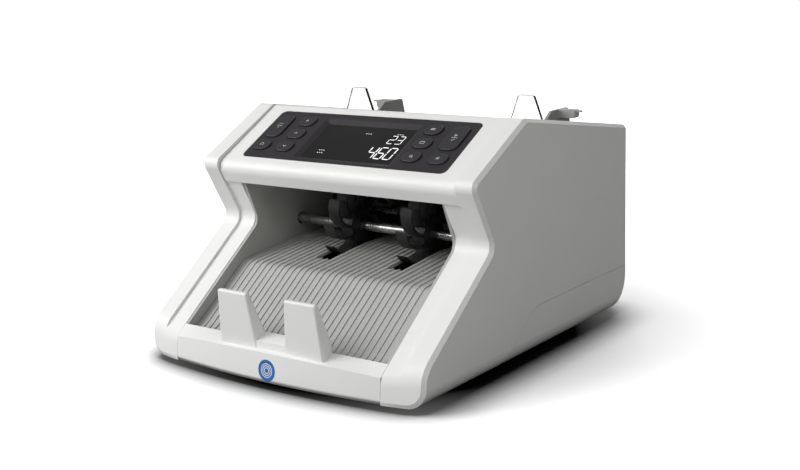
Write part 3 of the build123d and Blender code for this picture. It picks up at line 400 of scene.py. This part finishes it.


# --- Printed detail -----------------------------------------------------------------------------


def mesh_piece(name, bm, material, place, turn, body):
    """Piece from a bmesh drawn flat, put at a place with a turn, on a body."""
    mesh = bpy.data.meshes.new(name)
    bmesh.ops.recalc_face_normals(bm, faces=bm.faces)
    bm.transform(Matrix.Translation(place) @ turn.to_4x4())
    bm.to_mesh(mesh)
    bm.free()
    piece = bpy.data.objects.new(name, mesh)
    bpy.context.collection.objects.link(piece)
    mesh.materials.append(material)
    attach(piece, body)
    return piece


def prism(bm, outline, thick):
    """Closed flat prism over an outline of (x, y), from height 0 to thick."""
    low = [bm.verts.new((x, y, 0)) for x, y in outline]
    high = [bm.verts.new((x, y, thick)) for x, y in outline]
    bm.faces.new(list(reversed(low)))
    bm.faces.new(high)
    for k in range(len(outline)):
        after = (k + 1) % len(outline)
        bm.faces.new((low[k], low[after], high[after], high[k]))


def bar(bm, start, end, width, thick):
    """Straight printed line between two points, with pointed ends like a display segment."""
    a, b = Vector(start), Vector(end)
    along = (b - a).normalized() * width / 2
    across = Vector((-along.y, along.x))
    outline = [a, a + along + across, b - along + across, b, b - along - across, a + along - across]
    prism(bm, [(p.x, p.y) for p in outline], thick)


def ring_strip(bm, radius, width, thick, first=0, last=360, steps=28):
    """Arc of a printed ring, as a run of small prisms that share their edges."""
    angles = [radians(first + (last - first) * k / steps) for k in range(steps + 1)]
    outer = [((radius + width / 2) * cos(a), (radius + width / 2) * sin(a)) for a in angles]
    inner = [((radius - width / 2) * cos(a), (radius - width / 2) * sin(a)) for a in angles]
    if abs(last - first) < 360:
        prism(bm, outer + inner[::-1], thick)
        return
    rows = [[bm.verts.new((x, y, z)) for x, y in points[:-1]]
            for points, z in ((outer, 0), (outer, thick), (inner, thick), (inner, 0))]
    for k in range(steps):
        after = (k + 1) % steps
        for a, b in ((0, 1), (1, 2), (2, 3), (3, 0)):
            bm.faces.new((rows[a][k], rows[a][after], rows[b][after], rows[b][k]))


PRINT_THICK = 0.05 * MM
LINE = 0.32 * MM


def strokes(*lines):
    """Icon drawer from straight lines given in millimetres."""
    def draw(bm):
        for line in lines:
            for a, b in zip(line, line[1:]):
                bar(bm, (a[0] * MM, a[1] * MM), (b[0] * MM, b[1] * MM), LINE, PRINT_THICK)
    return draw


def rings(*circles):
    """Icon drawer from arcs: (radius in millimetres, first and last angle)."""
    def draw(bm):
        for radius, first, last in circles:
            ring_strip(bm, radius * MM, LINE, PRINT_THICK, first, last)
    return draw


def both(*drawers):
    """Icon drawer that runs several others."""
    def draw(bm):
        for drawer in drawers:
            drawer(bm)
    return draw


KEY_ICONS = {
    "up_key": strokes([(-1.6, -0.7), (0, 0.8), (1.6, -0.7)]),
    "down_key": strokes([(-1.6, 0.7), (0, -0.8), (1.6, 0.7)]),
    "left_top_key": strokes([(-1.4, 0), (1.4, 0)], [(0, -1.4), (0, 1.4)]),
    "left_low_key": rings((1.4, -60, 240)),
    "left_wide_key": strokes([(-2.4, 0), (2.4, 0)], [(-1.9, 2.4), (-0.6, 2.4)], [(0.1, 2.4), (1.9, 2.4)],
                             [(-1.2, -2.4), (1.2, -2.4)]),
    "right_top_key": strokes([(-1.9, 0.8), (1.9, 0.8)], [(-1.9, 0), (1.9, 0)], [(-1.9, -0.8), (1.9, -0.8)]),
    "right_middle_key": strokes([(-1.8, -1), (-1.8, 1), (1.8, 1), (1.8, -1), (-1.8, -1)]),
    "right_low_key": both(rings((1.0, 0, 360)), strokes([(0.9, -0.9), (1.9, -1.8)])),
    "start_key": both(strokes([(-2.6, 0), (2.6, 0)], [(-0.9, 1.5), (-0.9, 3.7), (1.2, 2.6), (-0.9, 1.5)]),
                      strokes([(-1.2, -2.5), (-0.3, -3.3), (1.4, -1.6)])),
    "clear_key": strokes([(-1.2, -1.2), (1.2, 1.2)], [(-1.2, 1.2), (1.2, -1.2)]),
}


def add_key_prints(material):
    """Plain printed signs on the keys, each riding on its own key."""
    for key, draw in KEY_ICONS.items():
        bm = bmesh.new()
        draw(bm)
        place = panel_spot(key, PRINT_LIFT)
        mesh_piece(f"{key}_print", bm, material, place, PANEL_TURN, key)


SEGMENTS = {
    "a": ((0, 2), (1, 2)), "b": ((1, 2), (1, 1)), "c": ((1, 1), (1, 0)), "d": ((0, 0), (1, 0)),
    "e": ((0, 1), (0, 0)), "f": ((0, 2), (0, 1)), "g": ((0, 1), (1, 1)),
}
DIGITS = {"0": "abcdef", "2": "abged", "3": "abgcd", "4": "fgbc", "6": "afgedc"}


def draw_number(bm, text, left, base, width, height, gap):
    """Seven-segment number from its lower left corner."""
    line, slant, margin = height * 0.07, 0.08, 0.05 * height
    for place, figure in enumerate(text):
        for segment in DIGITS[figure]:
            ends = []
            for across, up in SEGMENTS[segment]:
                y = base + up * height / 2
                x = left + place * (width + gap) + across * width + slant * (y - base)
                ends.append(Vector((x, y)))
            inward = (ends[1] - ends[0]).normalized() * margin * 0.5
            bar(bm, ends[0] + inward, ends[1] - inward, line, PRINT_THICK)


def add_display(material, faint):
    """Counted number, the batch number above it, and two faint state marks."""
    middle = panel_spot("display_window", PRINT_LIFT)
    bm = bmesh.new()
    draw_number(bm, "460", 14.5 * MM, -15.0 * MM, 6.0 * MM, 13.0 * MM, 2.2 * MM)
    draw_number(bm, "23", 23.5 * MM, 3.0 * MM, 5.0 * MM, 9.0 * MM, 2.0 * MM)
    mesh_piece("display_figures", bm, material, middle, PANEL_TURN, "root")
    bm = bmesh.new()
    for left, base in ((-30, -13.5), (-30, -10.5), (-1, 12.5), (27, 14.0)):
        for k in range(3):
            bar(bm, ((left + 2 * k) * MM, base * MM), ((left + 1.5 + 2 * k) * MM, base * MM),
                0.7 * MM, PRINT_THICK)
    mesh_piece("display_marks", bm, faint, middle, PANEL_TURN, "root")


FRONT_LEAN = 0.096  # the lip's front face leans back this much for each unit up
BADGE_LIFT = 0.02 * MM


def add_badge_rings(material):
    """Plain concentric rings on the badge."""
    low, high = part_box("front_badge")
    out = Vector((0, -1, FRONT_LEAN)).normalized()
    turn = Matrix((Vector((1, 0, 0)), out.cross(Vector((1, 0, 0))), out)).transposed()
    middle = Vector(((low.x + high.x) / 2, low.y + FRONT_LEAN * (high.z - low.z) / 2, (low.z + high.z) / 2))
    bm = bmesh.new()
    for radius in (2.0, 3.4, 4.8):
        ring_strip(bm, radius * MM, 0.6 * MM, PRINT_THICK, steps=48)
    mesh_piece("badge_rings", bm, material, middle + out * BADGE_LIFT, turn, "root")


# --- Studio -------------------------------------------------------------------------------------

FLOOR_HALF = 60  # far past anything that the camera sees
# painted light on the floor: emission that only the camera sees grows with distance from the machine
# between the two distances on the next line, paling the cast shadow
FLOOR_SEEN, FLOOR_BOUNCE, FLOOR_PAINTED_LIGHT = 1.3, 0.34, 0.5
PAINTED_LIGHT_START, PAINTED_LIGHT_FULL = 0.14, 0.34  # distances from the middle of the machine
# painted contact shade on the floor: how far the occlusion reaches, the occlusion at which the floor is
# painted black, and the occlusion at which the painted shade is gone
CONTACT_SHADE_REACH, CONTACT_SHADE_BLACK, CONTACT_SHADE_OPEN = 0.04, 0.5, 0.95
ROOM_SEEN, ROOM_GLOW = 1.0, 0.2
SKY_POWER, SKY_SPREAD, SKY_DIRECTION = 1.2, 75, (0.5, 0.75, -0.8)
MIDDLE = (0, 0, 0.1)
LIGHTS = [  # name, place, target, side length, power
    ("left light", (-0.55, -0.62, 0.55), MIDDLE, 0.5, 4.2),
    ("right light", (0.8, -0.6, 0.65), MIDDLE, 0.4, 1.8),
    ("back light", (-0.25, 1.1, 0.85), MIDDLE, 0.7, 5),
    ("display sheen", (-0.8, 0.35, 1.1), (0, -0.03, 0.16), 0.3, 0.04),
]


def by_ray(tree, to_camera, to_others):
    """Value that is one number where the camera looks at it, also through something clear, and
    another where it lights the scene."""
    rays = tree.nodes.new("ShaderNodeLightPath")
    seen = tree.nodes.new("ShaderNodeMath")
    seen.operation = "MAXIMUM"
    tree.links.new(rays.outputs["Is Camera Ray"], seen.inputs[0])
    tree.links.new(rays.outputs["Is Transmission Ray"], seen.inputs[1])
    pick = tree.nodes.new("ShaderNodeMapRange")
    pick.inputs["To Min"].default_value, pick.inputs["To Max"].default_value = to_others, to_camera
    tree.links.new(seen.outputs["Value"], pick.inputs["Value"])
    return pick.outputs["Result"]


def add_floor():
    """Pale seamless floor, with painted shade in the corner under the machine and painted light that fades
    it to white away from it.
    """
    bm = bmesh.new()
    bmesh.ops.create_grid(bm, x_segments=24, y_segments=24, size=FLOOR_HALF)
    mesh = bpy.data.meshes.new("floor")
    bm.to_mesh(mesh)
    bm.free()
    floor = bpy.data.objects.new("floor", mesh)
    bpy.context.collection.objects.link(floor)
    surface = Surface("pale floor", Specular_IOR_Level=0.1, Emission_Color=(1, 1, 1, 1))
    # painted shade: occlusion darkens the floor colour under and beside the machine
    painted_contact_shade = surface.add("ShaderNodeAmbientOcclusion", samples=16)
    painted_contact_shade.inputs["Distance"].default_value = CONTACT_SHADE_REACH
    shaded = surface.add("ShaderNodeMath", operation="MULTIPLY")
    surface.link(by_ray(surface.tree, FLOOR_SEEN, FLOOR_BOUNCE), shaded.inputs[0])
    surface.link(surface.spread(painted_contact_shade.outputs["AO"], 0, 1, CONTACT_SHADE_BLACK, CONTACT_SHADE_OPEN), shaded.inputs[1])
    surface.feed("Base Color", shaded.outputs["Value"])
    surface.feed("Roughness", surface.spread(surface.noise(40, 3), 0.8, 0.9))
    # painted light: floor emission, seen only by the camera, that grows with distance from the machine
    away = surface.add("ShaderNodeVectorMath", operation="LENGTH")
    surface.link(surface.place, away.inputs[0])
    painted_floor_light = surface.add("ShaderNodeMath", operation="MULTIPLY")
    fade = surface.spread(away.outputs["Value"], 0, FLOOR_PAINTED_LIGHT, PAINTED_LIGHT_START, PAINTED_LIGHT_FULL)
    surface.link(fade, painted_floor_light.inputs[0])
    surface.link(by_ray(surface.tree, 1, 0), painted_floor_light.inputs[1])
    surface.feed("Emission Strength", painted_floor_light.outputs["Value"])
    mesh.materials.append(surface.material)


def add_light(name, place, target, size, power):
    """Soft square light aimed at a target."""
    data = bpy.data.lights.new(name, "AREA")
    data.shape, data.size, data.size_y, data.energy = "RECTANGLE", size, size, power
    light = bpy.data.objects.new(name, data)
    bpy.context.collection.objects.link(light)
    light.location = place
    light.rotation_mode = "QUATERNION"
    light.rotation_quaternion = (Vector(target) - Vector(place)).to_track_quat("-Z", "Y")


def add_lights():
    """White room, a wide sky light from the front and left, and the square lights of the list."""
    world = bpy.data.worlds.new("studio")
    world.use_nodes = True
    background = world.node_tree.nodes["Background"]
    background.inputs["Color"].default_value = (1, 1, 1, 1)
    strength = by_ray(world.node_tree, ROOM_SEEN, ROOM_GLOW)
    world.node_tree.links.new(strength, background.inputs["Strength"])
    bpy.context.scene.world = world
    bpy.context.scene.view_settings.view_transform = "Standard"
    sun = bpy.data.objects.new("sky light", bpy.data.lights.new("sky light", "SUN"))
    sun.data.energy, sun.data.angle = SKY_POWER, radians(SKY_SPREAD)
    sun.rotation_mode = "QUATERNION"
    sun.rotation_quaternion = Vector(SKY_DIRECTION).to_track_quat("-Z", "Y")
    bpy.context.collection.objects.link(sun)
    for light in LIGHTS:
        add_light(*light)


add_camera()
paint_nodes()
white_print = print_white("white key print")
add_key_prints(white_print)
add_display(print_white("lit figures", 0.7), print_white("faint display marks", 0.12))
add_badge_rings(white_print)
add_floor()
add_lights()

bpy.context.view_layer.update()
